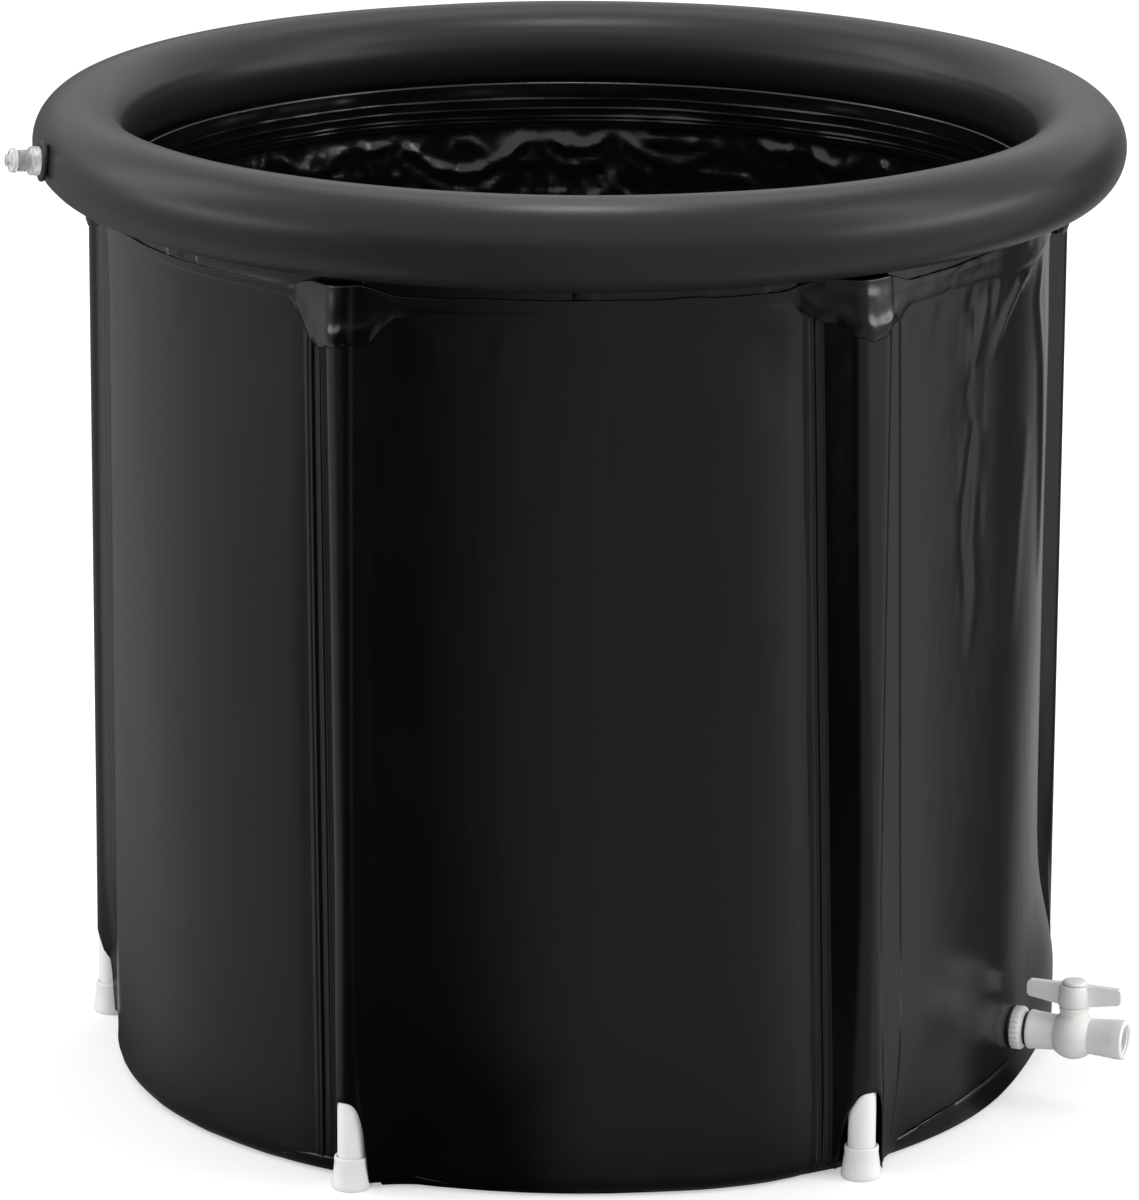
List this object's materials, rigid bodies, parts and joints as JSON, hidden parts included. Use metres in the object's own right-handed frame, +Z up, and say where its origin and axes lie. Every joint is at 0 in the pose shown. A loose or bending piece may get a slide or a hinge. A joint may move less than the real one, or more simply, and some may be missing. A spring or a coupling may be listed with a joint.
{
  "type": "inflatable bathtub",
  "caption": "Round freestanding soft bathtub with an inflated ring on its rim, held upright by slide-in support rods in wall pockets, with a ball valve drain and an air valve.",
  "frame": {"origin": "centre of the tub's underside, on the floor", "axes": "+Z up along the tub's axis, -Y towards the picture's viewer, +X to the viewer's right"},
  "size_m": [0.8223, 0.8, 0.732],
  "materials": {
    "ring_vinyl": "satin charcoal PVC film",
    "wall_vinyl": "semi-gloss black PVC sheet",
    "liner_vinyl": "glossy black PVC film, gathered",
    "foam": "closed-cell foam sheet",
    "white_plastic": "smooth warm white PVC",
    "clear_plastic": "clear soft PVC",
    "black_rubber": "matt black rubber",
    "seat_plastic": "white fluoropolymer"
  },
  "bodies": {
    "tub": {"outer_cover": "wall_vinyl", "base_panel": "wall_vinyl", "insulation_floor": "foam", "insulation_panel_1": "foam", "insulation_panel_2": "foam", "insulation_panel_3": "foam", "insulation_panel_4": "foam", "insulation_panel_5": "foam", "inner_liner": "liner_vinyl", "inner_weld_band": "liner_vinyl", "hem_band": "wall_vinyl", "ring_skirt": "wall_vinyl", "ring_bladder": "ring_vinyl", "rod_pocket_1": "wall_vinyl", "rod_pocket_2": "wall_vinyl", "rod_pocket_3": "wall_vinyl", "rod_pocket_4": "wall_vinyl", "rod_pocket_5": "wall_vinyl", "air_valve_gasket": "black_rubber", "air_valve_base": "clear_plastic", "drain_bulkhead": "white_plastic", "drain_inner_gasket": "black_rubber", "drain_outer_gasket": "black_rubber", "drain_lock_nut": "white_plastic", "drain_socket_ring": "black_rubber", "drain_valve_body": "white_plastic", "drain_seat_inner": "seat_plastic", "drain_seat_outer": "seat_plastic", "drain_seat_retainer": "white_plastic"},
    "rod_1": {"rod_pipe_1": "white_plastic", "rod_foot_1": "white_plastic", "rod_cap_1": "white_plastic"},
    "rod_2": {"rod_pipe_2": "white_plastic", "rod_foot_2": "white_plastic", "rod_cap_2": "white_plastic"},
    "rod_3": {"rod_pipe_3": "white_plastic", "rod_foot_3": "white_plastic", "rod_cap_3": "white_plastic"},
    "rod_4": {"rod_pipe_4": "white_plastic", "rod_foot_4": "white_plastic", "rod_cap_4": "white_plastic"},
    "rod_5": {"rod_pipe_5": "white_plastic", "rod_foot_5": "white_plastic", "rod_cap_5": "white_plastic"},
    "air_valve_screw": {"air_valve_body": "clear_plastic", "air_valve_flap": "clear_plastic"},
    "air_valve_plug": {"air_valve_cap": "clear_plastic"},
    "drain_turner": {"drain_ball": "white_plastic", "drain_stem": "white_plastic", "drain_stem_ring": "black_rubber", "drain_handle": "white_plastic", "drain_handle_cap": "white_plastic"}
  },
  "joints": [
    {"name": "rod_slide_1", "type": "slide", "parent": "tub", "child": "rod_1", "axis": [0, 0, -1], "range_m": [0, 0.6]},
    {"name": "rod_slide_2", "type": "slide", "parent": "tub", "child": "rod_2", "axis": [0, 0, -1], "range_m": [0, 0.6]},
    {"name": "rod_slide_3", "type": "slide", "parent": "tub", "child": "rod_3", "axis": [0, 0, -1], "range_m": [0, 0.6]},
    {"name": "rod_slide_4", "type": "slide", "parent": "tub", "child": "rod_4", "axis": [0, 0, -1], "range_m": [0, 0.6]},
    {"name": "rod_slide_5", "type": "slide", "parent": "tub", "child": "rod_5", "axis": [0, 0, -1], "range_m": [0, 0.6]},
    {"name": "air_valve_turn", "type": "hinge", "parent": "tub", "child": "air_valve_screw", "pos_m": [-0.35182, -0.10088, 0.698], "axis": [-0.9589, -0.275, 0.0698], "range_deg": [0, 720]},
    {"name": "air_cap_turn", "type": "hinge", "parent": "air_valve_screw", "child": "air_valve_plug", "pos_m": [-0.35182, -0.10088, 0.698], "axis": [-0.9589, -0.275, 0.0698], "range_deg": [0, 540]},
    {"name": "drain_turn", "type": "hinge", "parent": "tub", "child": "drain_turner", "pos_m": [0.36826, -0.13769, 0.055], "axis": [0, 0, 1], "range_deg": [0, 90]}
  ]
}
